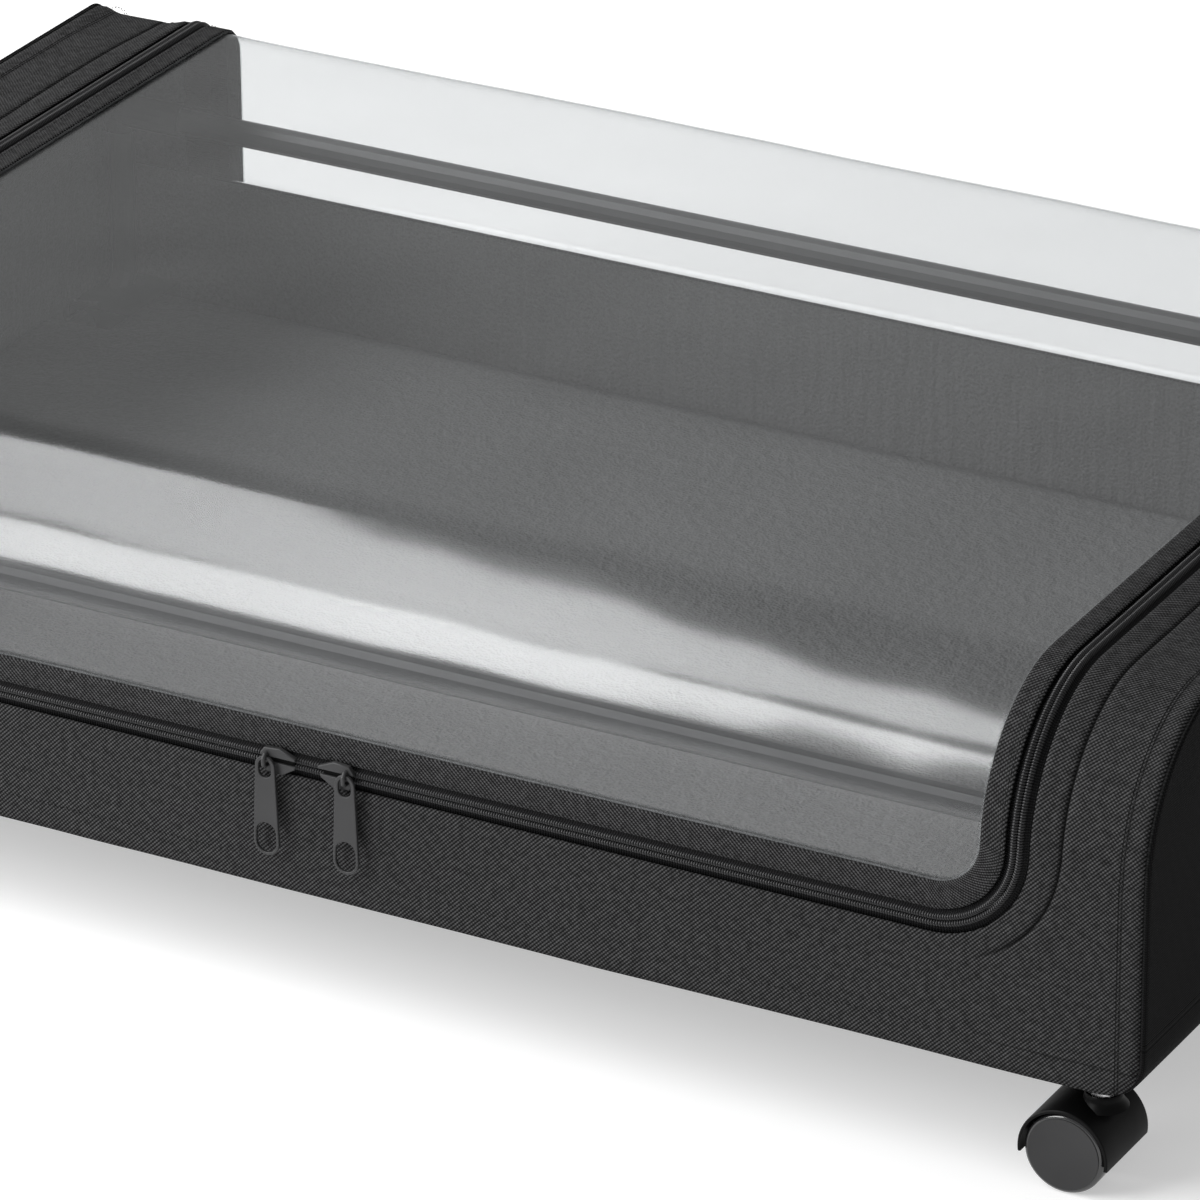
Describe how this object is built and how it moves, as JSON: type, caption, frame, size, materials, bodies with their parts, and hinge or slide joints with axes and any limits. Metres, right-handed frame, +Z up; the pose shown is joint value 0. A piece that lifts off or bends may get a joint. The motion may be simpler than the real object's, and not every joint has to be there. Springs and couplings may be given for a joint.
{
  "type": "under bed box",
  "caption": "Long low cloth storage box on a steel tube frame, with a clear zipped cover that hinges at the back and swivel casters at the corners.",
  "frame": {"origin": "on the floor, under the middle of the bounding box", "axes": "+X along the length to the right seen from the front, +Y from the zipped front to the back, +Z up"},
  "size_m": [0.8, 0.512, 0.2146],
  "materials": {
    "black_cloth": "ribbed twill, matt",
    "zipper_tape": "woven tape with a moulded coil",
    "clear_pvc": "clear, glossy",
    "grey_tube": "satin paint",
    "black_plastic": "moulded, satin",
    "slider_metal": "painted, satin",
    "bright_steel": "plated",
    "wheel_plastic": "moulded, matt",
    "board": "covered in thin cloth"
  },
  "bodies": {
    "base": {"front_panel": "black_cloth", "back_panel": "black_cloth", "left_gusset": "black_cloth", "right_gusset": "black_cloth", "left_end_panel": "black_cloth", "right_end_panel": "black_cloth", "bottom_panel": "black_cloth", "base_board": "board", "left_hoop": "grey_tube", "right_hoop": "grey_tube", "front_top_rail": "grey_tube", "rear_top_rail": "grey_tube", "front_bottom_rail": "grey_tube", "rear_bottom_rail": "grey_tube", "bottom_cross_bar": "grey_tube", "left_rear_elbow": "black_plastic", "right_rear_elbow": "black_plastic", "front_left_rail_bracket": "black_plastic", "front_right_rail_bracket": "black_plastic", "rear_left_rail_bracket": "black_plastic", "rear_right_rail_bracket": "black_plastic", "front_left_corner_block": "black_plastic", "front_left_caster_stem": "bright_steel", "front_right_corner_block": "black_plastic", "front_right_caster_stem": "bright_steel", "rear_left_corner_block": "black_plastic", "rear_left_caster_stem": "bright_steel", "rear_right_corner_block": "black_plastic", "rear_right_caster_stem": "bright_steel", "body_zipper_half": "zipper_tape"},
    "cover": {"clear_window": "clear_pvc", "cover_border": "black_cloth", "cover_zipper_half": "zipper_tape"},
    "left_slider_body": {"left_slider": "slider_metal"},
    "right_slider_body": {"right_slider": "slider_metal"},
    "left_tab_body": {"left_pull_tab": "slider_metal"},
    "right_tab_body": {"right_pull_tab": "slider_metal"},
    "front_left_caster": {"front_left_caster_hood": "black_plastic", "front_left_caster_axle": "bright_steel"},
    "front_left_outer_wheel_body": {"front_left_outer_wheel": "wheel_plastic"},
    "front_left_inner_wheel_body": {"front_left_inner_wheel": "wheel_plastic"},
    "front_right_caster": {"front_right_caster_hood": "black_plastic", "front_right_caster_axle": "bright_steel"},
    "front_right_outer_wheel_body": {"front_right_outer_wheel": "wheel_plastic"},
    "front_right_inner_wheel_body": {"front_right_inner_wheel": "wheel_plastic"},
    "rear_left_caster": {"rear_left_caster_hood": "black_plastic", "rear_left_caster_axle": "bright_steel"},
    "rear_left_outer_wheel_body": {"rear_left_outer_wheel": "wheel_plastic"},
    "rear_left_inner_wheel_body": {"rear_left_inner_wheel": "wheel_plastic"},
    "rear_right_caster": {"rear_right_caster_hood": "black_plastic", "rear_right_caster_axle": "bright_steel"},
    "rear_right_outer_wheel_body": {"rear_right_outer_wheel": "wheel_plastic"},
    "rear_right_inner_wheel_body": {"rear_right_inner_wheel": "wheel_plastic"}
  },
  "joints": [
    {"name": "cover_hinge", "type": "hinge", "parent": "base", "child": "cover", "pos_m": [0, 0.25645, 0.1298], "axis": [-1, 0, 0], "range_deg": [0, 170]},
    {"name": "left_slider_travel", "type": "slide", "parent": "cover", "child": "left_slider_body", "axis": [1, 0, 0], "range_m": [-0.285, 0.0045]},
    {"name": "right_slider_travel", "type": "slide", "parent": "cover", "child": "right_slider_body", "axis": [1, 0, 0], "range_m": [-0.0045, 0.262]},
    {"name": "left_tab_swing", "type": "hinge", "parent": "left_slider_body", "child": "left_tab_body", "pos_m": [-0.0095, -0.25315, 0.1115], "axis": [0, 1, 0], "range_deg": [-15, 100]},
    {"name": "right_tab_swing", "type": "hinge", "parent": "right_slider_body", "child": "right_tab_body", "pos_m": [0.0295, -0.25315, 0.1115], "axis": [0, 1, 0], "range_deg": [-100, 15]},
    {"name": "front_left_swivel", "type": "hinge", "parent": "base", "child": "front_left_caster", "pos_m": [-0.373, -0.22855, 0.04], "axis": [0, 0, 1], "continuous": true},
    {"name": "front_left_outer_wheel_spin", "type": "hinge", "parent": "front_left_caster", "child": "front_left_outer_wheel_body", "pos_m": [-0.364, -0.22855, 0.018], "axis": [0, 1, 0], "continuous": true},
    {"name": "front_left_inner_wheel_spin", "type": "hinge", "parent": "front_left_caster", "child": "front_left_inner_wheel_body", "pos_m": [-0.364, -0.22855, 0.018], "axis": [0, 1, 0], "continuous": true},
    {"name": "front_right_swivel", "type": "hinge", "parent": "base", "child": "front_right_caster", "pos_m": [0.373, -0.22855, 0.04], "axis": [0, 0, 1], "continuous": true},
    {"name": "front_right_outer_wheel_spin", "type": "hinge", "parent": "front_right_caster", "child": "front_right_outer_wheel_body", "pos_m": [0.364, -0.22855, 0.018], "axis": [0, 1, 0], "continuous": true},
    {"name": "front_right_inner_wheel_spin", "type": "hinge", "parent": "front_right_caster", "child": "front_right_inner_wheel_body", "pos_m": [0.364, -0.22855, 0.018], "axis": [0, 1, 0], "continuous": true},
    {"name": "rear_left_swivel", "type": "hinge", "parent": "base", "child": "rear_left_caster", "pos_m": [-0.373, 0.23545, 0.04], "axis": [0, 0, 1], "continuous": true},
    {"name": "rear_left_outer_wheel_spin", "type": "hinge", "parent": "rear_left_caster", "child": "rear_left_outer_wheel_body", "pos_m": [-0.364, 0.23545, 0.018], "axis": [0, 1, 0], "continuous": true},
    {"name": "rear_left_inner_wheel_spin", "type": "hinge", "parent": "rear_left_caster", "child": "rear_left_inner_wheel_body", "pos_m": [-0.364, 0.23545, 0.018], "axis": [0, 1, 0], "continuous": true},
    {"name": "rear_right_swivel", "type": "hinge", "parent": "base", "child": "rear_right_caster", "pos_m": [0.373, 0.23545, 0.04], "axis": [0, 0, 1], "continuous": true},
    {"name": "rear_right_outer_wheel_spin", "type": "hinge", "parent": "rear_right_caster", "child": "rear_right_outer_wheel_body", "pos_m": [0.364, 0.23545, 0.018], "axis": [0, 1, 0], "continuous": true},
    {"name": "rear_right_inner_wheel_spin", "type": "hinge", "parent": "rear_right_caster", "child": "rear_right_inner_wheel_body", "pos_m": [0.364, 0.23545, 0.018], "axis": [0, 1, 0], "continuous": true}
  ]
}
